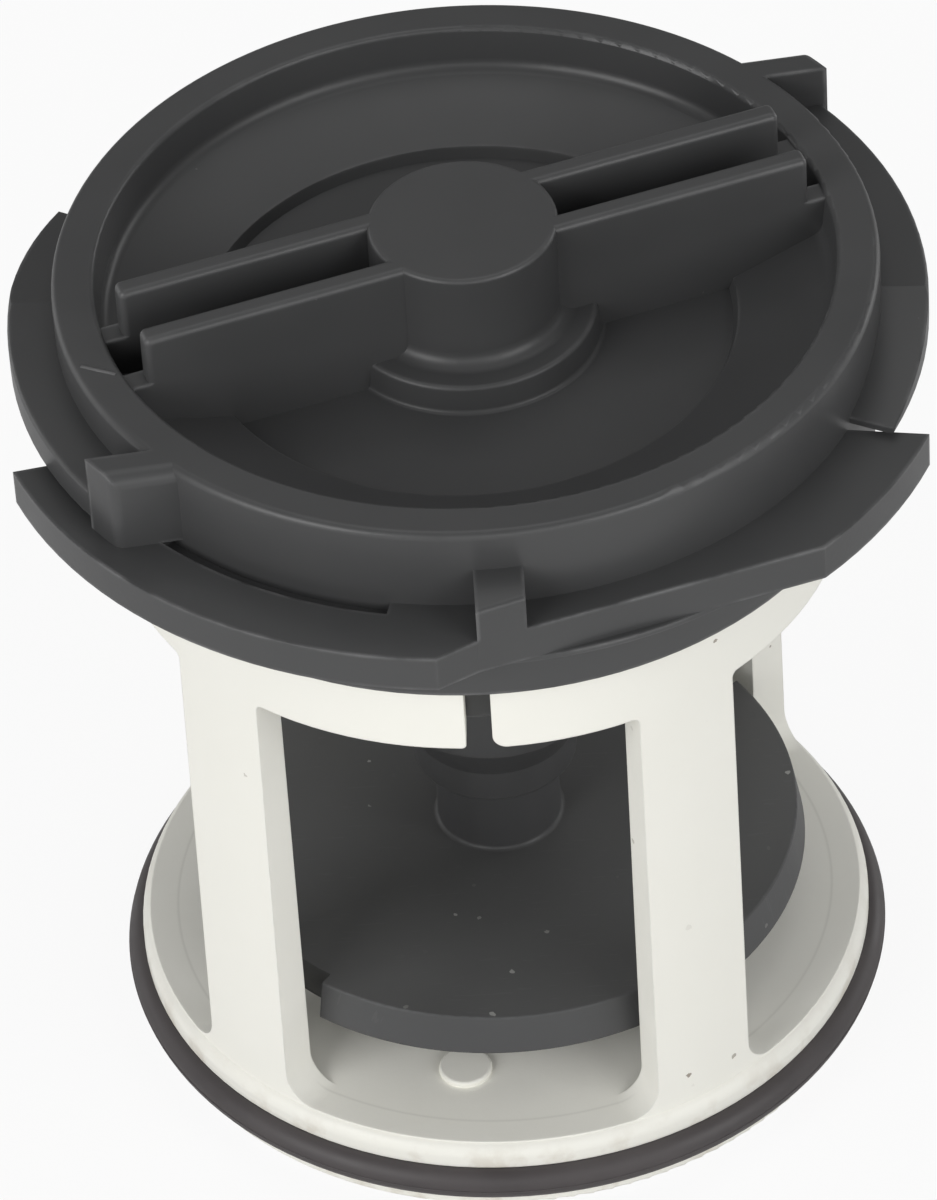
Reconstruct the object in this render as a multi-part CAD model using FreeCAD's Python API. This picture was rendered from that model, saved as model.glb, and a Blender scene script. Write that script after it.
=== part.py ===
"""Drain pump filter: a bayonet cap with a finger bar, a snap-on cage, a disc on a stem and a seal.

The frame: the turning axis is Z, the base stands on Z = 0, and the cage's slot is at the front.
Angles are in degrees, counter-clockwise from +X, seen from above. Sizes are in millimetres.
"""
import FreeCAD
import Part

import math
import os

# Seal in the groove of the base
SEAL_D = 3.0             # section of the ring
SEAL_Z = 3.0             # height of the ring's middle
SEAL_CLEAR = 0.06        # gap between the ring and its groove
SEAL_STAND = 1.35        # how far the ring stands out of the base

# Base of the cage, from its flat underside up
BASE_R = 31.0            # outer radius of the base
BASE_OVER_SEAL = 2.34    # height of the base over the seal's groove
BASE_FLOOR_Z = SEAL_Z + SEAL_D / 2 + SEAL_CLEAR + BASE_OVER_SEAL
BASE_FOOT_W = 3.1        # width of the flat ring that the base stands on
BASE_FLOOR_T = 3.0       # thickness of the floor over the recess
BASE_EDGE_ROUND = 1.3    # rounded upper edge of the base
BASE_FOOT_ROUND = 0.5    # rounded lower edge of the base
SEAL_OUTER_R = BASE_R + SEAL_STAND

# Cage wall: a split ring on four posts
POST_STEP = 0.7          # step from the base's edge in to the posts
POST_LEAN = 0.4          # how far the posts lean in up to the ring
CAGE_WALL = 2.9          # wall of the ring
CAGE_FOOT_R = BASE_R - POST_STEP
CAGE_TOP_R = CAGE_FOOT_R - POST_LEAN
CAGE_INNER_R = CAGE_TOP_R - CAGE_WALL
WINDOW_H = 44.3          # height of the windows between base and ring
RING_Z = BASE_FLOOR_Z + WINDOW_H
RING_H = 14.4            # height of the ring
POST_WIDTH_DEG = 17.2    # width of a post
POST_PAIR_DEG = (222.4, 301.2)   # middles of the two front posts, the others lie opposite
WINDOW_FOOT_ROUND = 2.6  # rounded lower corners of a window
WINDOW_HEAD_ROUND = 0.6  # rounded upper corners of a window
SLOT_DEG = 267.6         # place of the slot that splits the ring
SLOT_W = 2.1             # width of that slot
SLOT_ROUND = (0.4, 1.2)  # rounded lower corners of the slot, left and right
BEAD_RISE = 0.5          # how far the snap bead stands out of the neck
BEAD_UP = 6.3            # height of the bead's middle over the ring's underside
BEAD_H = 2.4             # height of the bead at the neck
BEAD_Z = RING_Z + BEAD_UP
PAD_R = 2.2              # small round pad on the floor
PAD_H = 0.5
PAD_IN = 5.0             # the pad's middle, from the cage's wall in
PAD_DEG = 259.0

# Cap: collar, dish, neck and sleeve
POCKET_DEPTH = 10.5      # roof of the pocket that takes the cage's ring
POCKET_CLEAR = 1.1       # gap between the skirt and the cage's ring
RING_TOP_CLEAR = 0.4     # gap between the pocket's roof and the cage's ring
SKIRT_WALL = 1.4         # wall of the plain ring under the flanges
COLLAR_STEP = 0.6        # step from that ring out to the collar
SKIRT_R = CAGE_TOP_R + POCKET_CLEAR + SKIRT_WALL
COLLAR_R = SKIRT_R + COLLAR_STEP
COLLAR_TOP_Z = RING_Z + RING_H + RING_TOP_CLEAR + POCKET_DEPTH
COLLAR_EDGE = 0.6        # rounded outer edge of the collar
CAP_WALL = 2.4           # wall of the dish and the neck
LAND_W = 3.4             # collar's edge to the dish's wall
DISH_WALL_LEAN = 0.4     # how far that wall leans in
DISH_FOOT_ROUND = 1.2
FLOOR_DEPTH = 7.0        # depth of the dish's floor below the collar
LEDGE_STEP = 1.0         # step from the floor up to the sloping ledge
LEDGE_FALL = 2.3         # how far the ledge falls from the dish's wall
LEDGE_W = 7.6            # width of the ledge
LEDGE_R = COLLAR_R - LAND_W - DISH_WALL_LEAN - LEDGE_W
LEDGE_DEPTH = FLOOR_DEPTH - LEDGE_STEP
DISH_WALL_H = LEDGE_DEPTH - LEDGE_FALL
HUB_R = 7.6              # round hub in the middle
HUB_RISE = 4.0           # how far hub and bar stand above the collar
HUB_FOOT_ROUND = 1.2     # rounding between the hub and the boss
BOSS_W = 2.8             # width of the round boss about the hub
BOSS_H = 2.4             # its height over the floor
BOSS_LEAN = 0.3          # how far its side leans out
BOSS_R = HUB_R + BOSS_W
BOSS_DEPTH = FLOOR_DEPTH - BOSS_H
NECK_CLEAR = 0.15        # gap between the neck and the cage's ring
NECK_SHORT = 0.3         # how far the neck ends above the ring's underside
RIB_COUNT = 6            # ribs under the dish
RIB_T = 1.6
RIB_DEPTH = 5.5          # how far a rib hangs below the dish's underside
KEY_CLEAR = 0.3          # gap on each side of the key in the cage's slot
KEY_UP = 4.7             # lower end of the key over the ring's underside
KEY_RECESS = 0.3         # how far the key's face lies inside the ring's face

# Finger bar across the dish
BAR_DEG = 18.0           # direction of the bar
BAR_W = 8.1              # width over both walls
BAR_WALL = 1.9
BAR_END_GAP = 1.7        # raised end of the bar to the dish's wall
BAR_FOOT_DEPTH = 0.4     # below this depth the walls run on into the dish's wall
BAR_ROUND = 0.55
BAR_HALF_L = COLLAR_R - LAND_W - BAR_END_GAP

# Bayonet flanges, each level turned half a turn for its mate
UPPER_REACH = 3.8        # how far the upper flange stands out of the collar
UPPER_TOP_DEPTH = 3.7
UPPER_T = 3.1
UPPER_R = COLLAR_R + UPPER_REACH
UPPER_UNDER_DEPTH = UPPER_TOP_DEPTH + UPPER_T
UPPER_FROM_DEG = 153.0   # thin start of its ramp
UPPER_FULL_DEG = 176.0   # end of its ramp
UPPER_LEAD_T = 0.5       # thickness at the start
LOWER_REACH = 6.2        # how far the lower flange stands out of the collar
LEVEL_GAP = 0.35         # height between the two levels
LOWER_T = 3.2
LOWER_R = COLLAR_R + LOWER_REACH
LOWER_TOP_DEPTH = UPPER_UNDER_DEPTH + LEVEL_GAP
LOWER_FROM_DEG = 201.0
LOWER_TO_DEG = 335.1
LOWER_END_SKEW_DEG = 10.0        # ends of the lower flange against the X axis
FLAT_REACH = 2.4         # straight run of the edge, from the collar out
FLAT_DEG = 286.9         # way that the straight run faces
FLAT_DISTANCE = COLLAR_R + FLAT_REACH
BACK_FROM_DEG = 52.0     # shorter lower flange at the back
BACK_TO_DEG = 128.0
STOP_DEG = 220.2         # outer front corner of the stop block
STOP_OVER = 0.3          # how far the block stands out past the upper flange
STOP_SKEW_DEG = 6.4      # its front against the X axis
STOP_T = 2.9
STOP_ROUND = 1.2         # rounded corner and front edge of the block
LUG_X = (-0.9, 3.0)      # lug at the front, from side to side
LUG_TOP_DEPTH = 3.6      # top of the lug at the collar
LUG_FALL = 0.9           # how far its top falls to the front face
LUG_ROUND = 0.5
LUG_CORNER_DEG = 264.0   # where the flange's round edge turns in to the lug
LIP_REACH = 3.0          # lip under a lower flange, from the collar out
LIP_T = 0.5
LIP_FALL = 2.65          # height of the lip's cone down to the skirt's step
LIP_INSET_DEG = 3.0      # how far the lip's ends lie inside the flange's
GROOVE_W = 1.3           # groove at the collar's foot
GROOVE_DEPTH = 0.9
GROOVE_DEG = (223.0, 257.0)
SKIRT_H = 4.25           # height of the plain ring under the flanges
SKIRT_TOP_DEPTH = LOWER_TOP_DEPTH + LOWER_T + LIP_FALL
SKIRT_DEPTH = SKIRT_TOP_DEPTH + SKIRT_H

# Disc inside the cage, on a stem in the cap's sleeve
DISC_UP = 9.3            # top of the disc over the base's floor
DISC_H = 3.5
DISC_CLEAR = 1.25        # gap between the disc and the cage's wall
DISC_LEAN = 0.6          # how far the disc's side leans in
DISC_PLATE = 1.8         # thickness of the disc's plate
DISC_RIM = 1.8           # thickness of its rim
DISC_RIBS = 6
DISC_NOTCH = 1.2         # depth of the two notches in the rim, at a post each
DISC_NOTCH_DEG = 18.5
DISC_TOP_Z = BASE_FLOOR_Z + DISC_UP
BORE_R = 5.25            # bore of the sleeve
STEM_CLEAR = 0.05        # gap between the stem and the sleeve's bore
STEM_SHOW = 7.1          # free length of the stem between disc and sleeve
STEM_SEAT = 16.0         # how far the stem reaches into the bore
DISC_HUB_W = 2.2         # hub under the plate, from the stem's side out
SLEEVE_WALL = 3.95       # wall of the sleeve
SLEEVE_TIP_WALL = 1.6    # wall at its narrow tip
SLEEVE_TIP_H = 3.2       # height of the tip
SLEEVE_TAPER_H = 4.0     # height of the taper over it
SLEEVE_R = BORE_R + SLEEVE_WALL
SLEEVE_END_Z = DISC_TOP_Z + STEM_SHOW

EDGE_ROUND = 0.4         # small edges of the mouldings
ROOT = 1.0               # how far a joined piece reaches into the wall that carries it

Z_AXIS = FreeCAD.Vector(0, 0, 1)
ORIGIN = FreeCAD.Vector(0, 0, 0)


def below_collar(depth):
    """Height of a point that lies this far below the collar's top."""
    return COLLAR_TOP_Z - depth


def polar(radius, degrees, z=0.0):
    """Point at a radius and an angle about the axis."""
    turn = math.radians(degrees)
    return FreeCAD.Vector(radius * math.cos(turn), radius * math.sin(turn), z)


def corner_arc(before, corner, after, radius):
    """Start, middle and end of the arc that rounds a corner."""
    to_before = (before - corner).normalize()
    to_after = (after - corner).normalize()
    half = to_before.getAngle(to_after) / 2
    reach = radius / math.tan(half)
    start = corner + to_before * reach
    end = corner + to_after * reach
    bisector = (to_before + to_after).normalize()
    middle = corner + bisector * (radius / math.sin(half) - radius)
    return start, middle, end


def rounded_wire(corners):
    """Closed wire through (point, radius) corners, with an arc where the radius isn't zero."""
    edges = []
    joints = []
    for index, (point, radius) in enumerate(corners):
        before = corners[index - 1][0]
        after = corners[(index + 1) % len(corners)][0]
        if radius > 0:
            start, middle, end = corner_arc(before, point, after, radius)
            edges.append(Part.Arc(start, middle, end).toShape())
            joints.append((start, end))
        else:
            joints.append((point, point))
    for index, (_, leave) in enumerate(joints):
        arrive = joints[(index + 1) % len(joints)][0]
        if leave.distanceToPoint(arrive) > 1e-6:
            edges.append(Part.makeLine(leave, arrive))
    return Part.Wire(Part.__sortEdges__(edges))


def revolved(profile, degrees=360.0, start=0.0):
    """Solid of revolution from (radius, height, rounding) corners."""
    corners = [(FreeCAD.Vector(r, 0, z), rounding) for r, z, rounding in profile]
    face = Part.Face(rounded_wire(corners))
    solid = face.revolve(ORIGIN, Z_AXIS, degrees)
    solid.rotate(ORIGIN, Z_AXIS, start)
    return solid


def turned(shape, degrees):
    """Copy of a shape, turned about the axis."""
    copy = shape.copy()
    copy.rotate(ORIGIN, Z_AXIS, degrees)
    return copy


def with_mate(shape):
    """A shape and its copy half a turn round."""
    return [shape, turned(shape, 180)]


def ring_sector(inner, outer, z_low, z_high, from_deg, to_deg):
    """Part of a flat ring between two angles."""
    profile = [(inner, z_low, 0), (outer, z_low, 0), (outer, z_high, 0), (inner, z_high, 0)]
    return revolved(profile, to_deg - from_deg, from_deg)


def base_profile():
    """Section of the cage's base, with the seal's groove and the recess under the floor."""
    groove_r = SEAL_OUTER_R - SEAL_D - SEAL_CLEAR
    half = SEAL_D / 2 + SEAL_CLEAR
    recess_z = BASE_FLOOR_Z - BASE_FLOOR_T
    recess_r = BASE_R - BASE_FOOT_W
    return [
        (0, recess_z, 0),
        (recess_r, recess_z, EDGE_ROUND),
        (recess_r, 0, 0),
        (BASE_R, 0, BASE_FOOT_ROUND),
        (BASE_R, SEAL_Z - half, 0),
        (groove_r, SEAL_Z - half, 0),
        (groove_r, SEAL_Z + half, 0),
        (BASE_R, SEAL_Z + half, 0),
        (BASE_R, BASE_FLOOR_Z, BASE_EDGE_ROUND),
        (0, BASE_FLOOR_Z, 0),
    ]


def cage_wall_profile():
    """Section of the posts and the ring, with the groove for the snap bead."""
    top_z = RING_Z + RING_H
    groove_r = CAGE_INNER_R + BEAD_RISE
    half = BEAD_H / 2 + NECK_CLEAR
    return [
        (CAGE_INNER_R, BASE_FLOOR_Z - BASE_FLOOR_T / 2, 0),
        (CAGE_FOOT_R, BASE_FLOOR_Z - BASE_FLOOR_T / 2, 0),
        (CAGE_FOOT_R, BASE_FLOOR_Z, 0),
        (CAGE_TOP_R, RING_Z, 0),
        (CAGE_TOP_R, top_z, EDGE_ROUND),
        (CAGE_INNER_R, top_z, EDGE_ROUND),
        (CAGE_INNER_R, BEAD_Z + half, 0),
        (groove_r, BEAD_Z + half - BEAD_RISE, 0),
        (groove_r, BEAD_Z - half + BEAD_RISE, 0),
        (CAGE_INNER_R, BEAD_Z - half, 0),
    ]


def window_cutter(from_deg, to_deg):
    """Space of one window, with rounded corners."""
    beyond = 2.0
    cutter = ring_sector(CAGE_INNER_R - beyond, BASE_R + beyond, BASE_FLOOR_Z, RING_Z, from_deg, to_deg)
    for z, rounding in ((BASE_FLOOR_Z, WINDOW_FOOT_ROUND), (RING_Z, WINDOW_HEAD_ROUND)):
        edges = [e for e in cutter.Edges if isinstance(e.Curve, Part.Line) and lies_at(e, "z", z)]
        cutter = cutter.makeFillet(rounding, edges)
    return cutter


def lies_at(edge, axis, place):
    """Whether both ends of an edge lie at this place along an axis."""
    return all(abs(getattr(v.Point, axis) - place) < 1e-4 for v in edge.Vertexes)


def post_angles():
    """Middles of the four posts, in order round the cage."""
    return sorted((a + turn) % 360 for a in POST_PAIR_DEG for turn in (0, 180))


def ring_slot():
    """Space of the slot that splits the ring."""
    low, high = RING_Z - ROOT, COLLAR_TOP_Z
    inner, outer = CAGE_INNER_R - ROOT, BASE_R
    slot = Part.makeBox(outer - inner, SLOT_W, high - low, FreeCAD.Vector(inner, -SLOT_W / 2, low))
    return turned(slot, SLOT_DEG)


def slot_corner(wall, place):
    """The ring's lower edge on one side of the slot."""
    across = polar(1.0, SLOT_DEG + 90)
    return [e for e in wall.Edges if isinstance(e.Curve, Part.Line) and lies_at(e, "z", RING_Z)
            and all(abs(v.Point.dot(across) - place) < 1e-4 for v in e.Vertexes)]


def make_cage():
    """The cage: base, four posts and the split ring, moulded as one piece."""
    wall = revolved(cage_wall_profile())
    angles = post_angles()
    half = POST_WIDTH_DEG / 2
    for index, angle in enumerate(angles):
        following = angles[(index + 1) % len(angles)]
        gap_end = following if following > angle else following + 360
        wall = wall.cut(window_cutter(angle + half, gap_end - half))
    wall = wall.cut(ring_slot())
    for side, rounding in zip((-1, 1), SLOT_ROUND):
        wall = wall.makeFillet(rounding, slot_corner(wall, side * SLOT_W / 2))
    pad = Part.makeCylinder(PAD_R, PAD_H, polar(CAGE_INNER_R - PAD_IN, PAD_DEG, BASE_FLOOR_Z))
    pad = pad.makeFillet(PAD_H / 2, [pad.Edges[0]])
    return revolved(base_profile()).fuse([wall, pad]).removeSplitter()


def make_seal():
    """The round rubber ring in the groove of the base."""
    middle_r = SEAL_OUTER_R - SEAL_D / 2
    return Part.makeTorus(middle_r, SEAL_D / 2, FreeCAD.Vector(0, 0, SEAL_Z))


def cap_profile():
    """Section of the cap: hub, dish, collar, skirt, neck and sleeve."""
    neck_r = CAGE_INNER_R - NECK_CLEAR
    neck_inner = neck_r - CAP_WALL
    bead_r = neck_r + BEAD_RISE
    wall_r = COLLAR_R - LAND_W
    bead_half = BEAD_H / 2
    under_floor = below_collar(FLOOR_DEPTH + CAP_WALL)
    pocket_z = below_collar(POCKET_DEPTH)
    skirt_z = below_collar(SKIRT_DEPTH)
    tip_r = BORE_R + SLEEVE_TIP_WALL
    taper_end = SLEEVE_END_Z + SLEEVE_TIP_H
    neck_end = RING_Z + NECK_SHORT
    top = [
        (0, COLLAR_TOP_Z + HUB_RISE, 0),
        (HUB_R, COLLAR_TOP_Z + HUB_RISE, EDGE_ROUND),
        (HUB_R, below_collar(BOSS_DEPTH), HUB_FOOT_ROUND),
        (BOSS_R, below_collar(BOSS_DEPTH), EDGE_ROUND),
        (BOSS_R + BOSS_LEAN, below_collar(FLOOR_DEPTH), EDGE_ROUND),
        (LEDGE_R - EDGE_ROUND, below_collar(FLOOR_DEPTH), 0),
        (LEDGE_R, below_collar(LEDGE_DEPTH), 0),
        (wall_r - DISH_WALL_LEAN, below_collar(DISH_WALL_H), DISH_FOOT_ROUND),
        (wall_r, COLLAR_TOP_Z, EDGE_ROUND),
        (COLLAR_R, COLLAR_TOP_Z, COLLAR_EDGE),
    ]
    outside = [
        (COLLAR_R, below_collar(SKIRT_TOP_DEPTH), 0),
        (SKIRT_R, below_collar(SKIRT_TOP_DEPTH), 0),
        (SKIRT_R, skirt_z, 0),
        (CAGE_TOP_R + POCKET_CLEAR, skirt_z, 0),
        (CAGE_TOP_R + POCKET_CLEAR, pocket_z, 0),
        (neck_r, pocket_z, 0),
        (neck_r, BEAD_Z + bead_half, 0),
        (bead_r, BEAD_Z + bead_half - BEAD_RISE, 0),
        (bead_r, BEAD_Z - bead_half + BEAD_RISE, 0),
        (neck_r, BEAD_Z - bead_half, 0),
        (neck_r, neck_end, EDGE_ROUND),
        (neck_inner, neck_end, 0),
        (neck_inner, under_floor, DISH_FOOT_ROUND),
    ]
    inside = [
        (SLEEVE_R, under_floor, EDGE_ROUND),
        (SLEEVE_R, taper_end + SLEEVE_TAPER_H, EDGE_ROUND),
        (tip_r, taper_end, EDGE_ROUND),
        (tip_r, SLEEVE_END_Z, EDGE_ROUND),
        (BORE_R, SLEEVE_END_Z, 0),
        (BORE_R, COLLAR_TOP_Z + HUB_RISE - CAP_WALL, 0),
        (0, COLLAR_TOP_Z + HUB_RISE - CAP_WALL, 0),
    ]
    return top + outside + inside


def finger_bar():
    """The two walls of the finger bar, with the channel between them left open."""
    low = below_collar(FLOOR_DEPTH) - CAP_WALL / 2
    foot = below_collar(BAR_FOOT_DEPTH)
    high = COLLAR_TOP_Z + HUB_RISE
    foot_half = COLLAR_R - LAND_W + BAR_ROUND
    walls = []
    for side in (-1, 1):
        left_y = side * (BAR_W - BAR_WALL) / 2 - BAR_WALL / 2
        wall = Part.makeBox(2 * BAR_HALF_L, BAR_WALL, high - low, FreeCAD.Vector(-BAR_HALF_L, left_y, low))
        tops = [e for e in wall.Edges if lies_at(e, "z", high)]
        ends = [e for e in wall.Edges if lies_at(e, "x", BAR_HALF_L) or lies_at(e, "x", -BAR_HALF_L)]
        upright = [e for e in ends if abs(e.Vertexes[0].Point.z - e.Vertexes[-1].Point.z) > 1.0]
        wall = wall.makeFillet(BAR_ROUND, tops + upright)
        runout = Part.makeBox(2 * foot_half, BAR_WALL, foot - low, FreeCAD.Vector(-foot_half, left_y, low))
        walls += [turned(wall, BAR_DEG), turned(runout, BAR_DEG)]
    return walls


def upper_flange():
    """One upper flange: a flat collar with a ramp at its start and its end inside the stop block."""
    root = COLLAR_R - ROOT
    under = below_collar(UPPER_UNDER_DEPTH)
    top = below_collar(UPPER_TOP_DEPTH)
    end_deg = STOP_DEG - math.degrees(EDGE_ROUND / UPPER_R)
    flat = ring_sector(root, UPPER_R, under, top, UPPER_FROM_DEG, end_deg)
    edges = [e for e in flat.Edges if isinstance(e.Curve, Part.Circle)
             and abs(e.Curve.Radius - UPPER_R) < 1e-4]
    flat = flat.makeFillet(EDGE_ROUND, edges)
    return flat.cut(ramp_cutter(root, under, top))


def ramp_cutter(root, under, top):
    """Space above the ramp at the start of an upper flange."""
    start_in = polar(root - 1.0, UPPER_FROM_DEG)
    start_out = polar(UPPER_R + 4.0, UPPER_FROM_DEG - 2.0)
    full_in = polar(root - 1.0, UPPER_FULL_DEG)
    full_out = polar(UPPER_R + 4.0, UPPER_FULL_DEG)
    lead = under + UPPER_LEAD_T
    above = top + 1.0
    start = Part.makePolygon([FreeCAD.Vector(p.x, p.y, z) for p, z in
                              ((start_in, lead), (start_out, lead), (start_out, above),
                               (start_in, above), (start_in, lead))])
    full = Part.makePolygon([FreeCAD.Vector(p.x, p.y, z) for p, z in
                             ((full_in, top), (full_out, top), (full_out, above),
                              (full_in, above), (full_in, top))])
    return Part.makeLoft([start, full], True, True)


def skewed_end(tip_deg, skew_deg, inner):
    """Inner end of a flange's edge that runs from its tip at a skew to the X axis."""
    tip = polar(LOWER_R, tip_deg)
    side = 1 if tip.x < 0 else -1
    run = FreeCAD.Vector(side * math.cos(math.radians(skew_deg)), math.sin(math.radians(skew_deg)), 0)
    across = tip.x * run.x + tip.y * run.y
    reach = -across - math.sqrt(across ** 2 - LOWER_R ** 2 + inner ** 2)
    return tip + run * reach


def flat_corner():
    """Angle at which the straight run of the lower flange's edge meets its round part."""
    return FLAT_DEG + math.degrees(math.acos(FLAT_DISTANCE / LOWER_R))


def lower_flange_front():
    """The wide lower flange at the front: round at the left, with a straight run at the right."""
    inner = COLLAR_R - ROOT
    z = below_collar(LOWER_TOP_DEPTH + LOWER_T)
    left_tip = polar(LOWER_R, LOWER_FROM_DEG)
    right_tip = polar(LOWER_R, LOWER_TO_DEG)
    left_root = skewed_end(LOWER_FROM_DEG, LOWER_END_SKEW_DEG, inner)
    right_root = skewed_end(LOWER_TO_DEG, LOWER_END_SKEW_DEG, inner)
    turn_in = polar(LOWER_R, LUG_CORNER_DEG)
    flat_start = flat_point_at(LUG_X[0])
    flat_end = polar(LOWER_R, flat_corner())
    edges = [
        Part.Arc(left_tip, polar(LOWER_R, (LOWER_FROM_DEG + LUG_CORNER_DEG) / 2), turn_in).toShape(),
        Part.makeLine(turn_in, flat_start),
        Part.makeLine(flat_start, flat_end),
        Part.Arc(flat_end, polar(LOWER_R, (flat_corner() + LOWER_TO_DEG) / 2), right_tip).toShape(),
        Part.makeLine(right_tip, right_root),
        Part.Arc(right_root, polar(inner, (LOWER_FROM_DEG + LOWER_TO_DEG) / 2), left_root).toShape(),
        Part.makeLine(left_root, left_tip),
    ]
    face = Part.Face(Part.Wire(Part.__sortEdges__(edges)))
    face.translate(FreeCAD.Vector(0, 0, z))
    return face.extrude(FreeCAD.Vector(0, 0, LOWER_T))


def flat_point_at(x):
    """Point of the straight run that lies at this X."""
    normal = math.radians(FLAT_DEG)
    y = (FLAT_DISTANCE - x * math.cos(normal)) / math.sin(normal)
    return FreeCAD.Vector(x, y, 0)


def lower_flange_back():
    """The narrow lower flange at the back."""
    z = below_collar(LOWER_TOP_DEPTH + LOWER_T)
    return ring_sector(COLLAR_R - ROOT, LOWER_R, z, z + LOWER_T, BACK_FROM_DEG, BACK_TO_DEG)


def stop_block():
    """The block that ends an upper flange, as high as the collar."""
    low, high = below_collar(LOWER_TOP_DEPTH), COLLAR_TOP_Z
    outer = UPPER_R + STOP_OVER
    corner = polar(outer, STOP_DEG)
    box = Part.makeBox(COLLAR_R, STOP_T, high - low, FreeCAD.Vector(-COLLAR_R / 2, 0, low))
    box.rotate(ORIGIN, Z_AXIS, STOP_SKEW_DEG)
    box.translate(corner)
    block = box.common(ring_sector(COLLAR_R - LAND_W / 2, outer, low, high, 180, 270))
    across = polar(1.0, STOP_SKEW_DEG + 90)
    front = [e for e in block.Edges
             if all(abs((v.Point - corner).dot(across)) < 1e-4 for v in e.Vertexes)]
    upright = [e for e in front if lies_at(e, "x", corner.x)]
    return block.makeFillet(STOP_ROUND, [e for e in front if lies_at(e, "z", high)] + upright)


def front_lug():
    """The upright lug on the collar, over the cage's slot, flush with the flat of the flange."""
    left, right = LUG_X
    low = below_collar(LOWER_TOP_DEPTH + LOWER_T)
    root = COLLAR_R - ROOT
    side = [
        FreeCAD.Vector(left, -root, low),
        FreeCAD.Vector(left, -root, below_collar(LUG_TOP_DEPTH)),
        FreeCAD.Vector(left, -COLLAR_R, below_collar(LUG_TOP_DEPTH)),
        FreeCAD.Vector(left, -LOWER_R, below_collar(LUG_TOP_DEPTH + LUG_FALL)),
        FreeCAD.Vector(left, -LOWER_R, low),
    ]
    block = Part.Face(Part.makePolygon(side + side[:1])).extrude(FreeCAD.Vector(right - left, 0, 0))
    block = block.cut(beyond_flat(low, COLLAR_TOP_Z))
    front = [e for e in block.Edges if all(on_flat(v.Point) and v.Point.z > low + ROOT for v in e.Vertexes)]
    return block.makeFillet(LUG_ROUND, front)


def on_flat(point):
    """Whether a point lies on the plane of the lower flange's straight run."""
    normal = polar(1.0, FLAT_DEG)
    return abs(point.x * normal.x + point.y * normal.y - FLAT_DISTANCE) < 1e-4


def beyond_flat(low, high):
    """Space outside the straight run of the lower flange."""
    box = Part.makeBox(LOWER_R, 2 * LOWER_R, high - low, FreeCAD.Vector(FLAT_DISTANCE, -LOWER_R, low))
    return turned(box, FLAT_DEG)


def flange_lip(from_deg, to_deg):
    """The thin lip under a lower flange, with a cone down to the skirt's step."""
    high = below_collar(LOWER_TOP_DEPTH + LOWER_T)
    foot = below_collar(SKIRT_TOP_DEPTH)
    lip_r = COLLAR_R + LIP_REACH
    profile = [
        (COLLAR_R - ROOT, foot, 0),
        (COLLAR_R, foot, 0),
        (lip_r, high - LIP_T, 0),
        (lip_r, high, 0),
        (COLLAR_R - ROOT, high, 0),
    ]
    return revolved(profile, to_deg - from_deg - 2 * LIP_INSET_DEG, from_deg + LIP_INSET_DEG)


def foot_groove():
    """Space of the shallow groove round the collar's foot."""
    high = below_collar(LOWER_TOP_DEPTH) + EDGE_ROUND
    low = below_collar(LOWER_TOP_DEPTH + GROOVE_DEPTH)
    return ring_sector(COLLAR_R, COLLAR_R + GROOVE_W, low, high, *GROOVE_DEG)


def slot_key():
    """The key under the skirt that sits in the cage's slot."""
    inner = CAGE_INNER_R - NECK_CLEAR - CAP_WALL / 2
    outer = CAGE_TOP_R - KEY_RECESS
    width = SLOT_W - 2 * KEY_CLEAR
    low, high = RING_Z + KEY_UP, below_collar(POCKET_DEPTH) + EDGE_ROUND
    box = Part.makeBox(outer - inner, width, high - low, FreeCAD.Vector(inner, -width / 2, low))
    end = [e for e in box.Edges if lies_at(e, "z", low) and lies_at(e, "x", outer)]
    return turned(box.makeFillet(width, end), SLOT_DEG)


def under_ribs():
    """Ribs under the dish, from the sleeve to the neck."""
    neck_inner = CAGE_INNER_R - NECK_CLEAR - CAP_WALL
    inner, outer = SLEEVE_R - ROOT, neck_inner + ROOT
    high = below_collar(FLOOR_DEPTH) - CAP_WALL / 2
    low = below_collar(FLOOR_DEPTH + CAP_WALL + RIB_DEPTH)
    rib = Part.makeBox(outer - inner, RIB_T, high - low, FreeCAD.Vector(inner, -RIB_T / 2, low))
    return [turned(rib, BAR_DEG + index * 360 / RIB_COUNT) for index in range(RIB_COUNT)]


def make_cap():
    """The cap: dish with finger bar, bayonet flanges, neck and sleeve, moulded as one piece."""
    body = revolved(cap_profile())
    flanges = [lower_flange_front(), lower_flange_back()] + with_mate(upper_flange())
    lips = [flange_lip(LOWER_FROM_DEG, LOWER_TO_DEG), flange_lip(BACK_FROM_DEG, BACK_TO_DEG)]
    body = body.fuse(flanges + lips).cut(foot_groove())
    pieces = finger_bar() + under_ribs() + [slot_key()]
    for shape in (stop_block(), front_lug()):
        pieces += with_mate(shape)
    return body.fuse(pieces).removeSplitter()


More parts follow.
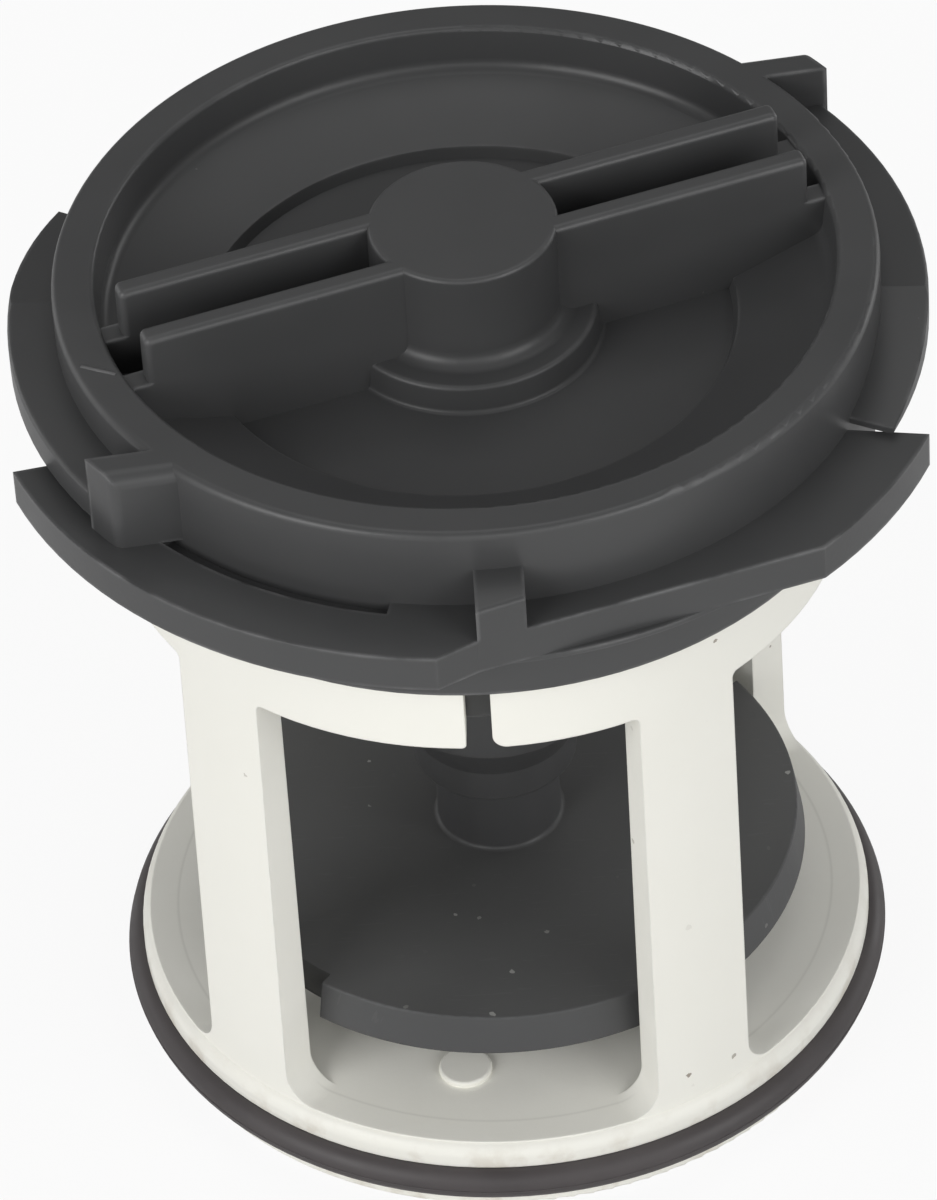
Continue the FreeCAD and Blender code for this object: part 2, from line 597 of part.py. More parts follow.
def make_disc():
    """The disc: plate with a rim and ribs below, and the stem that plugs into the sleeve."""
    foot_z = DISC_TOP_Z - DISC_H
    foot_r = CAGE_INNER_R - DISC_CLEAR
    top_r = foot_r - DISC_LEAN
    stem_r = BORE_R - STEM_CLEAR
    stem_top = SLEEVE_END_Z + STEM_SEAT
    hub_r = stem_r + DISC_HUB_W
    plate_r = foot_r - DISC_RIM - DISC_LEAN * DISC_PLATE / DISC_H
    profile = [
        (0, foot_z, 0),
        (hub_r, foot_z, 0),
        (hub_r, DISC_TOP_Z - DISC_PLATE, 0),
        (plate_r, DISC_TOP_Z - DISC_PLATE, 0),
        (foot_r - DISC_RIM, foot_z, 0),
        (foot_r, foot_z, 0),
        (top_r, DISC_TOP_Z, EDGE_ROUND / 2),
        (stem_r, DISC_TOP_Z, EDGE_ROUND),
        (stem_r, stem_top, EDGE_ROUND),
        (0, stem_top, 0),
    ]
    disc = revolved(profile)
    inner, outer = hub_r - ROOT / 2, foot_r - DISC_RIM / 2
    rib = Part.makeBox(outer - inner, RIB_T, DISC_H - DISC_PLATE / 2,
                       FreeCAD.Vector(inner, -RIB_T / 2, foot_z))
    ribs = [turned(rib, index * 360 / DISC_RIBS) for index in range(DISC_RIBS)]
    half = DISC_NOTCH_DEG / 2
    notch = ring_sector(top_r - DISC_NOTCH, BASE_R, foot_z - ROOT, DISC_TOP_Z + ROOT,
                        POST_PAIR_DEG[0] - half, POST_PAIR_DEG[0] + half)
    return disc.fuse(ribs).cut(with_mate(notch)).removeSplitter()


def main():
    """Build every piece and write it to its own file."""
    os.makedirs("parts", exist_ok=True)
    pieces = {
        "cap": make_cap(),
        "cage": make_cage(),
        "disc": make_disc(),
        "o_ring": make_seal(),
    }
    for name, shape in pieces.items():
        solid = shape.Solids[0] if len(shape.Solids) == 1 else shape
        box = solid.BoundBox
        print(name, "solids", len(shape.Solids), "valid", solid.isValid(),
              "volume", round(solid.Volume, 1), "z", round(box.ZMin, 2), round(box.ZMax, 2))
        solid.exportStep("parts/" + name + ".step")


main()
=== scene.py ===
"""Drain pump filter: black bayonet cap, white cage, black disc and rubber seal.

The CAD solids carry the shapes. This script gives them their finishes, some with painted highlights and
light, adds the small marks of moulding and use, and sets up the floor, the light and the camera. Lengths
are in metres.
"""
import logging
import math
from dataclasses import dataclass, field, replace
from enum import Enum
from typing import Optional, Union

import bmesh
import bpy
from mathutils import Matrix, Vector

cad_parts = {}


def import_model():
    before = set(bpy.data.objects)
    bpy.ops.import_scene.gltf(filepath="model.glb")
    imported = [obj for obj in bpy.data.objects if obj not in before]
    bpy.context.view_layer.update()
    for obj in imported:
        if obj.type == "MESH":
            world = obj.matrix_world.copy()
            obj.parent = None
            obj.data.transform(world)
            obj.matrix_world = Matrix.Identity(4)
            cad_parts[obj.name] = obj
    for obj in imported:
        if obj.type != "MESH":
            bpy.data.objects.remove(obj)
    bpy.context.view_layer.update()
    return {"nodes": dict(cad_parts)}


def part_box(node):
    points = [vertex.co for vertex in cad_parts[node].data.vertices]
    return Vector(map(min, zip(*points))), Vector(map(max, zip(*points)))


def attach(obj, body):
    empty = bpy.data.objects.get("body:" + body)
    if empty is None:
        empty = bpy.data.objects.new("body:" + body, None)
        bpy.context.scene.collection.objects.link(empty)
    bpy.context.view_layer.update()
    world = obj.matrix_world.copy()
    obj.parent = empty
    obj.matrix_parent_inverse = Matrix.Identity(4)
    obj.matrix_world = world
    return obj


LOG = logging.getLogger("filter")
MM = 0.001
ROOT = "root"
MERGE_DISTANCE = 1e-7
WHITE = (1.0, 1.0, 1.0)
Colour = tuple[float, float, float]
Point = tuple[float, float, float]
Socket = bpy.types.NodeSocket


class Effect(Enum):
    """Shader groups that the finishes are put together from."""

    GRAIN = "moulded_grain"
    EDGES = "edge_rub_and_highlight"
    SPECKS = "specks"
    SCRATCHES = "scratches"
    MOTTLE = "mottle"


class Detail(Enum):
    """How many finer layers a noise pattern has."""

    SMOOTH = 1.0
    PLAIN = 2.0
    FINE = 3.0
    CLOUDY = 4.0


class Wiring:
    """A node tree while it is being built."""

    # A Mix node has its own sockets for each kind of value: first, second and result.
    MIX_SOCKETS = {"RGBA": (6, 7, 2), "VECTOR": (4, 5, 1)}
    # Most of a noise pattern's values lie between these two.
    NOISE_LOW = 0.35
    NOISE_HIGH = 0.65

    def __init__(self, tree: bpy.types.NodeTree) -> None:
        """Take the tree to build in."""
        self.tree = tree

    def node(self, kind: str, **settings: object) -> bpy.types.Node:
        """Add a node.

        Args:
            kind: the node's type name.
            settings: properties to set on it.

        Returns:
            The new node.
        """
        made = self.tree.nodes.new(kind)
        for name, value in settings.items():
            setattr(made, name, value)
        return made

    def link(self, source: Socket, target: Socket) -> None:
        """Link one socket to another."""
        self.tree.links.new(source, target)

    def feed(self, target: Socket, value: Union[float, Colour, Socket]) -> None:
        """Link a socket to an input, or set the input to a number or a colour.

        Args:
            target: the input.
            value: a socket, a number or a colour, which is made opaque.
        """
        if isinstance(value, Socket):
            self.link(value, target)
        elif isinstance(value, tuple):
            target.default_value = (*value, 1.0)
        else:
            target.default_value = value

    def position(self) -> Socket:
        """Give the place on the surface, in the part's frame."""
        return self.node("ShaderNodeTexCoord").outputs["Object"]

    def maths(self, operation: str, first: Union[float, Socket], second: Union[float, Socket],
              clamp: bool = False) -> Socket:
        """Add a Math node.

        Args:
            operation: the node's operation.
            first: a socket or a number.
            second: a socket or a number.
            clamp: whether to hold the result between 0 and 1.

        Returns:
            The result's socket.
        """
        made = self.node("ShaderNodeMath", operation=operation, use_clamp=clamp)
        self.feed(made.inputs[0], first)
        self.feed(made.inputs[1], second)
        return made.outputs[0]

    def mix(self, kind: str, factor: Socket, first: Union[Colour, Socket],
            second: Union[Colour, Socket]) -> Socket:
        """Add a Mix node.

        Args:
            kind: RGBA for colours or VECTOR for normals.
            factor: how much of the second shows.
            first: a colour or a socket.
            second: a colour or a socket.

        Returns:
            The result's socket.
        """
        made = self.node("ShaderNodeMix", data_type=kind)
        first_index, second_index, result_index = self.MIX_SOCKETS[kind]
        self.link(factor, made.inputs[0])
        self.feed(made.inputs[first_index], first)
        self.feed(made.inputs[second_index], second)
        return made.outputs[result_index]

    def spread(self, value: Socket, low: float, high: float,
               start: float = NOISE_LOW, end: float = NOISE_HIGH) -> Socket:
        """Map a value to a range.

        Args:
            value: the value's socket.
            low: the result at the start.
            high: the result at the end.
            start: the value that gives low.
            end: the value that gives high.

        Returns:
            The result's socket.
        """
        made = self.node("ShaderNodeMapRange")
        made.inputs["From Min"].default_value = start
        made.inputs["From Max"].default_value = end
        made.inputs["To Min"].default_value = low
        made.inputs["To Max"].default_value = high
        self.link(value, made.inputs["Value"])
        return made.outputs["Result"]


class GroupSketch(Wiring):
    """A shader node group while it is being built."""

    def __init__(self, effect: Effect) -> None:
        """Start an empty group.

        Args:
            effect: the effect that the group makes.
        """
        super().__init__(bpy.data.node_groups.new(effect.value, "ShaderNodeTree"))
        self.start: Optional[bpy.types.Node] = None
        self.end: Optional[bpy.types.Node] = None

    def socket_in(self, name: str, default: float) -> None:
        """Add a number input.

        Args:
            name: the input's name.
            default: its value when nothing is set.
        """
        made = self.tree.interface.new_socket(name, in_out="INPUT", socket_type="NodeSocketFloat")
        made.default_value = default

    def socket_out(self, name: str, kind: str = "NodeSocketFloat") -> None:
        """Add an output of a kind, or a number if none is given."""
        self.tree.interface.new_socket(name, in_out="OUTPUT", socket_type=kind)

    def open(self) -> None:
        """Place the group's input and output nodes, once its sockets are known."""
        self.start = self.node("NodeGroupInput")
        self.end = self.node("NodeGroupOutput")

    def noise(self, position: Socket, scale: Union[float, Socket], detail: Detail) -> bpy.types.Node:
        """Add a noise pattern.

        Args:
            position: where the pattern is read.
            scale: how fine the pattern is.
            detail: how many finer layers it has.

        Returns:
            The pattern's node.
        """
        made = self.node("ShaderNodeTexNoise", noise_dimensions="3D")
        made.inputs["Detail"].default_value = detail.value
        self.link(position, made.inputs["Vector"])
        self.feed(made.inputs["Scale"], scale)
        return made


class Effects:
    """The shared shader groups, each made once."""

    # Grain: how much the slow waves count against the fine grain.
    WAVE_WEIGHT = 2.5
    # Edges: how quickly the rub and the painted highlight set in, how they fade, and the samples of the
    # Bevel and AO nodes.
    EDGE_GAIN = 2.5
    EDGE_FADE = 1.5
    EDGE_SAMPLES = 4
    # Specks: how fine their outlines are bent, and how far.
    BEND_SCALE = 2500.0
    BEND_REACH = 0.4 * MM
    # Scratches: each run's angle in radians, and how many times longer than wide it is.
    SCRATCH_RUNS = ((0.5, 14.0), (1.9, 10.0))
    SCRATCH_LEVEL = 0.72
    # Mottle: how strongly its finer layers count.
    MOTTLE_ROUGHNESS = 0.55

    def __init__(self) -> None:
        """Build every group."""
        self.made = {
            Effect.GRAIN: self._grain(),
            Effect.EDGES: self._edges(),
            Effect.SPECKS: self._specks(),
            Effect.SCRATCHES: self._scratches(),
            Effect.MOTTLE: self._mottle(),
        }

    def _grain(self) -> bpy.types.NodeTree:
        """Make the fine uneven skin of moulded plastic.

        Returns:
            A group that gives a height.
        """
        sketch = GroupSketch(Effect.GRAIN)
        sketch.socket_in("Scale", 2500.0)
        sketch.socket_in("Waves", 160.0)
        sketch.socket_out("Height")
        sketch.open()
        position = sketch.position()
        fine = sketch.noise(position, sketch.start.outputs["Scale"], Detail.FINE)
        waves = sketch.noise(position, sketch.start.outputs["Waves"], Detail.SMOOTH)
        low = sketch.maths("MULTIPLY", waves.outputs["Fac"], self.WAVE_WEIGHT)
        total = sketch.maths("ADD", fine.outputs["Fac"], low)
        sketch.link(total, sketch.end.inputs["Height"])
        return sketch.tree

    def _edges(self) -> bpy.types.NodeTree:
        """Make the mask of the rub and painted highlight on outer edges, found by how thin the piece is
        there.

        Returns:
            A group that gives a mask, and a normal that rounds the outer edges only.
        """
        sketch = GroupSketch(Effect.EDGES)
        sketch.socket_in("Radius", 0.3 * MM)
        sketch.socket_in("Breakup", 900.0)
        sketch.socket_out("Mask")
        sketch.socket_out("Normal", "NodeSocketVector")
        sketch.open()
        geometry = sketch.node("ShaderNodeNewGeometry")
        bevel = sketch.node("ShaderNodeBevel", samples=self.EDGE_SAMPLES)
        sketch.link(sketch.start.outputs["Radius"], bevel.inputs["Radius"])
        depth = sketch.node("ShaderNodeAmbientOcclusion", samples=self.EDGE_SAMPLES, inside=True,
                            only_local=True)
        sketch.link(sketch.start.outputs["Radius"], depth.inputs["Distance"])
        thin = sketch.maths("SUBTRACT", 1.0, depth.outputs["AO"])
        near = sketch.maths("MULTIPLY", thin, self.EDGE_GAIN, clamp=True)
        strong = sketch.maths("POWER", near, self.EDGE_FADE, clamp=True)
        noise = sketch.noise(sketch.position(), sketch.start.outputs["Breakup"], Detail.FINE)
        patchy = sketch.spread(noise.outputs["Fac"], 0.0, 1.0)
        mask = sketch.maths("MULTIPLY", strong, patchy, clamp=True)
        sketch.link(mask, sketch.end.inputs["Mask"])
        rounded = sketch.mix("VECTOR", near, geometry.outputs["Normal"], bevel.outputs["Normal"])
        unit = sketch.node("ShaderNodeVectorMath", operation="NORMALIZE")
        sketch.link(rounded, unit.inputs[0])
        sketch.link(unit.outputs["Vector"], sketch.end.inputs["Normal"])
        return sketch.tree

    def _specks(self) -> bpy.types.NodeTree:
        """Make scattered small specks: dust and dirt, and on the cap painted glints.

        Returns:
            A group that gives a mask.
        """
        sketch = GroupSketch(Effect.SPECKS)
        sketch.socket_in("Scale", 400.0)
        sketch.socket_in("Size", 0.08)
        sketch.socket_in("Share", 0.25)
        sketch.socket_out("Mask")
        sketch.open()
        position = sketch.position()
        noise = sketch.noise(position, self.BEND_SCALE, Detail.PLAIN)
        bend = sketch.node("ShaderNodeVectorMath", operation="SCALE")
        bend.inputs["Scale"].default_value = self.BEND_REACH
        sketch.link(noise.outputs["Color"], bend.inputs[0])
        bent = sketch.node("ShaderNodeVectorMath", operation="ADD")
        sketch.link(position, bent.inputs[0])
        sketch.link(bend.outputs["Vector"], bent.inputs[1])
        cells = sketch.node("ShaderNodeTexVoronoi", voronoi_dimensions="3D", feature="F1")
        sketch.link(bent.outputs["Vector"], cells.inputs["Vector"])
        sketch.link(sketch.start.outputs["Scale"], cells.inputs["Scale"])
        # A cell's random colour says whether it has a speck (red), how strong it is (green)
        # and how large (blue).
        draw = sketch.node("ShaderNodeSeparateColor")
        sketch.link(cells.outputs["Color"], draw.inputs["Color"])
        reach = sketch.maths("MULTIPLY", draw.outputs["Blue"], sketch.start.outputs["Size"])
        near = sketch.maths("LESS_THAN", cells.outputs["Distance"], reach)
        chosen = sketch.maths("LESS_THAN", draw.outputs["Red"], sketch.start.outputs["Share"])
        both = sketch.maths("MULTIPLY", near, chosen)
        mask = sketch.maths("MULTIPLY", both, draw.outputs["Green"], clamp=True)
        sketch.link(mask, sketch.end.inputs["Mask"])
        return sketch.tree

    def _scratches(self) -> bpy.types.NodeTree:
        """Make fine short scratches in two directions.

        Returns:
            A group that gives a mask.
        """
        sketch = GroupSketch(Effect.SCRATCHES)
        sketch.socket_in("Scale", 300.0)
        sketch.socket_out("Mask")
        sketch.open()
        position = sketch.position()
        runs = []
        for angle, length in self.SCRATCH_RUNS:
            turn = sketch.node("ShaderNodeMapping")
            turn.inputs["Rotation"].default_value = (0.0, 0.0, angle)
            turn.inputs["Scale"].default_value = (1.0, length, 1.0)
            sketch.link(position, turn.inputs["Vector"])
            noise = sketch.noise(turn.outputs["Vector"], sketch.start.outputs["Scale"], Detail.SMOOTH)
            runs.append(sketch.maths("GREATER_THAN", noise.outputs["Fac"], self.SCRATCH_LEVEL))
        both = sketch.maths("MAXIMUM", *runs)
        sketch.link(both, sketch.end.inputs["Mask"])
        return sketch.tree

    def _mottle(self) -> bpy.types.NodeTree:
        """Make the slow cloudy variation of colour and gloss.

        Returns:
            A group that gives a value about one half.
        """
        sketch = GroupSketch(Effect.MOTTLE)
        sketch.socket_in("Scale", 60.0)
        sketch.socket_out("Value")
        sketch.open()
        noise = sketch.noise(sketch.position(), sketch.start.outputs["Scale"], Detail.CLOUDY)
        noise.inputs["Roughness"].default_value = self.MOTTLE_ROUGHNESS
        sketch.link(noise.outputs["Fac"], sketch.end.inputs["Value"])
        return sketch.tree


class Dresser(Wiring):
    """A material while it is being built."""

    # The upward part of a face's normal at which a face starts to count as looking up.
    UP_START = 0.8

    def __init__(self, name: str, effects: Effects) -> None:
        """Start a material with a Principled shader.

        Args:
            name: the material's name.
            effects: the shared shader groups.
        """
        self.material = bpy.data.materials.new(name)
        self.material.use_nodes = True
        super().__init__(self.material.node_tree)
        self.effects = effects
        self.shader = self.tree.nodes["Principled BSDF"]

    def effect(self, effect: Effect, **values: float) -> bpy.types.Node:
        """Place a shared group.

        Args:
            effect: which group.
            values: numbers for its inputs, with the inputs' names in lower case.

        Returns:
            The group's node.
        """
        made = self.node("ShaderNodeGroup")
        made.node_tree = self.effects.made[effect]
        for name, value in values.items():
            made.inputs[name.capitalize()].default_value = value
        return made

    def blend(self, mask: Socket, first: Union[Colour, Socket], second: Union[Colour, Socket],
              strength: float = 1.0) -> Socket:
        """Mix two colours by a mask.

        Args:
            mask: where the second colour shows.
            first: a colour or a colour socket.
            second: a colour or a colour socket.
            strength: how strongly the mask counts.

        Returns:
            The mixed colour's socket.
        """
        scaled = self.maths("MULTIPLY", mask, strength, clamp=True)
        return self.mix("RGBA", scaled, first, second)

    def facing_up(self) -> Socket:
        """Mask the faces that look up.

        Returns:
            The mask's socket.
        """
        geometry = self.node("ShaderNodeNewGeometry")
        split = self.node("ShaderNodeSeparateXYZ")
        self.link(geometry.outputs["Normal"], split.inputs[0])
        return self.spread(split.outputs["Z"], 0.0, 1.0, self.UP_START, 1.0)

    def bump(self, height: Socket, distance: float, strength: float,
             normal: Optional[Socket] = None) -> Socket:
        """Add a Bump node.

        Args:
            height: the height's socket.
            distance: the depth in metres that a height of one stands for.
            strength: the node's strength.
            normal: a normal to bend, if not the surface's own.

        Returns:
            The bent normal's socket.
        """
        made = self.node("ShaderNodeBump")
        made.inputs["Distance"].default_value = distance
        made.inputs["Strength"].default_value = strength
        self.link(height, made.inputs["Height"])
        if normal is not None:
            self.link(normal, made.inputs["Normal"])
        return made.outputs["Normal"]

    def finish(self, colour: Socket, gloss: Socket, normal: Socket) -> bpy.types.Material:
        """Give the shader its surface.

        Args:
            colour: the base colour's socket.
            gloss: the roughness's socket.
            normal: the normal's socket.

        Returns:
            The finished material.
        """
        self.link(colour, self.shader.inputs["Base Color"])
        self.link(gloss, self.shader.inputs["Roughness"])
        self.link(normal, self.shader.inputs["Normal"])
        return self.material


@dataclass(frozen=True)
class MouldedPlastic:
    """Finish of a moulded plastic piece."""

    name: str
    colour: Colour
    cloud: Colour
    rub_and_highlight: Colour
    speck: Colour
    roughness: tuple[float, float]
    edge_radius: float = 0.25 * MM
    rub_and_highlight_strength: float = 0.5
    rub_and_highlight_breakup: float = 900.0
    painted_top_light: float = 0.0
    speck_scale: float = 420.0
    speck_size: float = 0.07
    speck_share: float = 0.5
    speck_strength: float = 0.8
    scratch_strength: float = 0.0
    mottle_scale: float = 70.0
    grain_depth: float = 0.012 * MM
    grain_strength: float = 0.6

    def build(self, effects: Effects) -> bpy.types.Material:
        """Make the material.

        Args:
            effects: the shared shader groups.

        Returns:
            The material.
        """
        dresser = Dresser(self.name, effects)
        mottle = dresser.effect(Effect.MOTTLE, scale=self.mottle_scale)
        edges = dresser.effect(Effect.EDGES, radius=self.edge_radius, breakup=self.rub_and_highlight_breakup)
        specks = dresser.effect(Effect.SPECKS, scale=self.speck_scale, size=self.speck_size,
                                share=self.speck_share)
        grain = dresser.effect(Effect.GRAIN)
        colour = dresser.blend(mottle.outputs["Value"], self.colour, self.cloud)
        # Outer edges take the rub colour: wear, and, strongest on the cap, a painted highlight.
        colour = dresser.blend(edges.outputs["Mask"], colour, self.rub_and_highlight, self.rub_and_highlight_strength)
        if self.scratch_strength:
            scratches = dresser.effect(Effect.SCRATCHES)
            colour = dresser.blend(scratches.outputs["Mask"], colour, self.rub_and_highlight, self.scratch_strength)
        # Painted light: faces that look up are lightened towards the speck colour, as if lit from above.
        if self.painted_top_light:
            colour = dresser.blend(dresser.facing_up(), colour, self.speck, self.painted_top_light)
        colour = self.stain(dresser, colour)
        # Specks of dust and dirt; on the cap they are also painted glints.
        colour = dresser.blend(specks.outputs["Mask"], colour, self.speck, self.speck_strength)
        gloss = dresser.spread(mottle.outputs["Value"], *self.roughness)
        normal = dresser.bump(grain.outputs["Height"], self.grain_depth, self.grain_strength,
                              edges.outputs["Normal"])
        return dresser.finish(colour, gloss, normal)

    def stain(self, dresser: Dresser, colour: Socket) -> Socket:
        """Leave the colour as it is, since plain plastic has no stains."""
        return colour


@dataclass(frozen=True)
class CagePlastic(MouldedPlastic):
    """Finish of the white cage: grime on the base's rim and a faint circle on its floor."""

    grime: Colour = (0.42, 0.33, 0.22)
    grime_strength: float = 0.3
    grime_low: float = 4.8 * MM
    grime_top: float = 7.0 * MM
    grime_scale: float = 320.0
    grime_patch: tuple[float, float] = (0.50, 0.64)
    circle: Colour = (0.50, 0.49, 0.44)
    circle_strength: float = 0.25
    circle_r: float = 27.9 * MM
    circle_half: float = 0.18 * MM

    def stain(self, dresser: Dresser, colour: Socket) -> Socket:
        """Add the grime and the circle.

        Args:
            dresser: the material that is being built.
            colour: the clean colour's socket.

        Returns:
            The stained colour's socket.
        """
        position = dresser.position()
        grimy = dresser.blend(self._rim(dresser, position), colour, self.grime, self.grime_strength)
        return dresser.blend(self._line(dresser, position), grimy, self.circle, self.circle_strength)

    def _rim(self, dresser: Dresser, position: Socket) -> Socket:
        """Mask the patches of grime low on the base.

        Args:
            dresser: the material that is being built.
            position: the place on the surface.

        Returns:
            The mask's socket.
        """
        split = dresser.node("ShaderNodeSeparateXYZ")
        dresser.link(position, split.inputs[0])
        band = dresser.spread(split.outputs["Z"], 1.0, 0.0, self.grime_low, self.grime_top)
        blotch = dresser.effect(Effect.MOTTLE, scale=self.grime_scale)
        patch = dresser.spread(blotch.outputs["Value"], 0.0, 1.0, *self.grime_patch)
        return dresser.maths("MULTIPLY", band, patch, clamp=True)

    def _line(self, dresser: Dresser, position: Socket) -> Socket:
        """Mask the thin circle on the faces that look up.

        Args:
            dresser: the material that is being built.
            position: the place on the surface.

        Returns:
            The mask's socket.
        """
        flat = dresser.node("ShaderNodeVectorMath", operation="MULTIPLY")
        flat.inputs[1].default_value = (1.0, 1.0, 0.0)
        dresser.link(position, flat.inputs[0])
        radius = dresser.node("ShaderNodeVectorMath", operation="LENGTH")
        dresser.link(flat.outputs["Vector"], radius.inputs[0])
        inner_r = self.circle_r - self.circle_half
        outer_r = self.circle_r + self.circle_half
        inner = dresser.spread(radius.outputs["Value"], 0.0, 1.0, inner_r, self.circle_r)
        outer = dresser.spread(radius.outputs["Value"], 1.0, 0.0, self.circle_r, outer_r)
        circle = dresser.maths("MULTIPLY", inner, outer, clamp=True)
        return dresser.maths("MULTIPLY", circle, dresser.facing_up(), clamp=True)


@dataclass(frozen=True)
class SealRubber:
    """Finish of the rubber ring."""

    name: str = "seal_rubber"
    colour: Colour = (0.042, 0.037, 0.038)
    bloom: Colour = (0.084, 0.074, 0.075)
    bloom_scale: float = 180.0
    dust: Colour = (0.30, 0.28, 0.26)
    dust_scale: float = 500.0
    dust_size: float = 0.1
    dust_share: float = 0.12
    dust_strength: float = 0.5
    roughness: tuple[float, float] = (0.42, 0.6)
    grain_scale: float = 3500.0
    grain_waves: float = 400.0
    grain_depth: float = 0.012 * MM
    grain_strength: float = 0.5

    def build(self, effects: Effects) -> bpy.types.Material:
        """Make the material.

        Args:
            effects: the shared shader groups.

        Returns:
            The material.
        """
        dresser = Dresser(self.name, effects)
        mottle = dresser.effect(Effect.MOTTLE, scale=self.bloom_scale)
        specks = dresser.effect(Effect.SPECKS, scale=self.dust_scale, size=self.dust_size,
                                share=self.dust_share)
        grain = dresser.effect(Effect.GRAIN, scale=self.grain_scale, waves=self.grain_waves)
        colour = dresser.blend(mottle.outputs["Value"], self.colour, self.bloom)
        colour = dresser.blend(specks.outputs["Mask"], colour, self.dust, self.dust_strength)
        gloss = dresser.spread(mottle.outputs["Value"], *self.roughness)
        normal = dresser.bump(grain.outputs["Height"], self.grain_depth, self.grain_strength)
        return dresser.finish(colour, gloss, normal)


# The cap's light rub colour paints highlights on its edges, besides wear, and its light specks are dust
# and painted glints.
BLACK_CAP = MouldedPlastic(
    name="cap_plastic",
    colour=(0.051, 0.0515, 0.0525),
    cloud=(0.064, 0.0645, 0.0655),
    rub_and_highlight=(0.18, 0.18, 0.182),
    speck=(0.24, 0.24, 0.23),
    roughness=(0.33, 0.44),
    edge_radius=0.35 * MM,
    rub_and_highlight_strength=0.85,
    rub_and_highlight_breakup=260.0,
    speck_share=0.14,
    speck_strength=0.45,
)
# A lighter copy of the cap's finish, which paints the highlight on the raised line.
PAINTED_HIGHLIGHT_MARK = replace(BLACK_CAP, name="cap_mark_highlight", colour=(0.10, 0.10, 0.102), cloud=(0.13, 0.13, 0.132))
BLACK_DISC = MouldedPlastic(
    name="disc_plastic",
    colour=(0.058, 0.0585, 0.060),
    cloud=(0.072, 0.0725, 0.074),
    rub_and_highlight=(0.105, 0.106, 0.108),
    speck=(0.42, 0.42, 0.40),
    roughness=(0.40, 0.55),
    # The disc's faces that look up are lightened: painted light from above.
    painted_top_light=0.07,
    speck_size=0.11,
    scratch_strength=0.25,
)
WHITE_CAGE = CagePlastic(
    name="cage_plastic",
    colour=(0.89, 0.88, 0.805),
    cloud=(0.915, 0.905, 0.845),
    rub_and_highlight=(0.92, 0.915, 0.87),
    speck=(0.20, 0.15, 0.10),
    roughness=(0.40, 0.52),
    rub_and_highlight_strength=0.2,
    speck_scale=300.0,
    speck_size=0.10,
)


def finish_mesh(name: str, bm: bmesh.types.BMesh, material: bpy.types.Material) -> bpy.types.Object:
    """Turn a bmesh into a smooth piece that rides on the part.

    Args:
        name: the piece's name.
        bm: the shape, in metres, in the part's frame.
        material: its finish.

    Returns:
        The new object.
    """
    bmesh.ops.remove_doubles(bm, verts=bm.verts, dist=MERGE_DISTANCE)
    bmesh.ops.recalc_face_normals(bm, faces=bm.faces)
    mesh = bpy.data.meshes.new(name)
    for face in bm.faces:
        face.smooth = True
    bm.to_mesh(mesh)
    bm.free()
    mesh.materials.append(material)
    piece = bpy.data.objects.new(name, mesh)
    bpy.context.scene.collection.objects.link(piece)
    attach(piece, ROOT)
    LOG.info("%s: %d faces", name, len(mesh.polygons))
    return piece


def dress_node(node: bpy.types.Object, material: bpy.types.Material) -> None:
    """Give a CAD node a better finish.

    Args:
        node: the CAD node's object.
        material: its finish.
    """
    if not node.material_slots:
        node.data.materials.append(material)
    for slot in node.material_slots:
        slot.material = material


def polar(radius: float, degrees: float, height: float) -> Vector:
    """Point at a radius and an angle about the part's axis."""
    turn = math.radians(degrees)
    return Vector((radius * math.cos(turn), radius * math.sin(turn), height))


@dataclass
class Cap:
    """The black bayonet cap."""

    node: bpy.types.Object
    hub_rise: float = 4.0 * MM
    mark_outer_r: float = 32.26 * MM
    mark_outer_deg: float = 198.44
    mark_inner_r: float = 30.14 * MM
    mark_inner_deg: float = 202.23
    mark_width: float = 0.35 * MM
    mark_height: float = 0.1 * MM
    mark_sides: int = 12

    def build(self, effects: Effects) -> None:
        """Dress the cap and add its moulding mark.

        Args:
            effects: the shared shader groups.
        """
        dress_node(self.node, BLACK_CAP.build(effects))
        # The mark's finish is a lighter copy of the cap's: a painted highlight.
        self._land_mark(PAINTED_HIGHLIGHT_MARK.build(effects))

    def _land_mark(self, material: bpy.types.Material) -> None:
        """Add the short raised line on the collar's flat top, as a flattened rod.

        Args:
            material: its finish, a lighter copy of the cap's that paints the line's highlight.
        """
        land_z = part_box("cap")[1].z - self.hub_rise
        outer = polar(self.mark_outer_r, self.mark_outer_deg, land_z)
        inner = polar(self.mark_inner_r, self.mark_inner_deg, land_z)
        along = inner - outer
        half_width = self.mark_width / 2
        bm = bmesh.new()
        made = bmesh.ops.create_cone(bm, cap_ends=True, segments=self.mark_sides, radius1=half_width,
                                     radius2=half_width, depth=along.length)
        turn = along.to_track_quat("Z", "Y").to_matrix().to_4x4()
        bmesh.ops.transform(bm, matrix=turn, verts=made["verts"])
        bmesh.ops.scale(bm, vec=Vector((1.0, 1.0, self.mark_height / half_width)), verts=made["verts"])
        bmesh.ops.translate(bm, vec=(outer + inner) / 2, verts=made["verts"])
        finish_mesh("cap_land_mark", bm, material)


@dataclass
class Cage:
    """The white cage."""

    node: bpy.types.Object

    def build(self, effects: Effects) -> None:
        """Dress the cage."""
        dress_node(self.node, WHITE_CAGE.build(effects))


@dataclass
class Disc:
    """The black disc."""

    node: bpy.types.Object

    def build(self, effects: Effects) -> None:
        """Dress the disc."""
        dress_node(self.node, BLACK_DISC.build(effects))


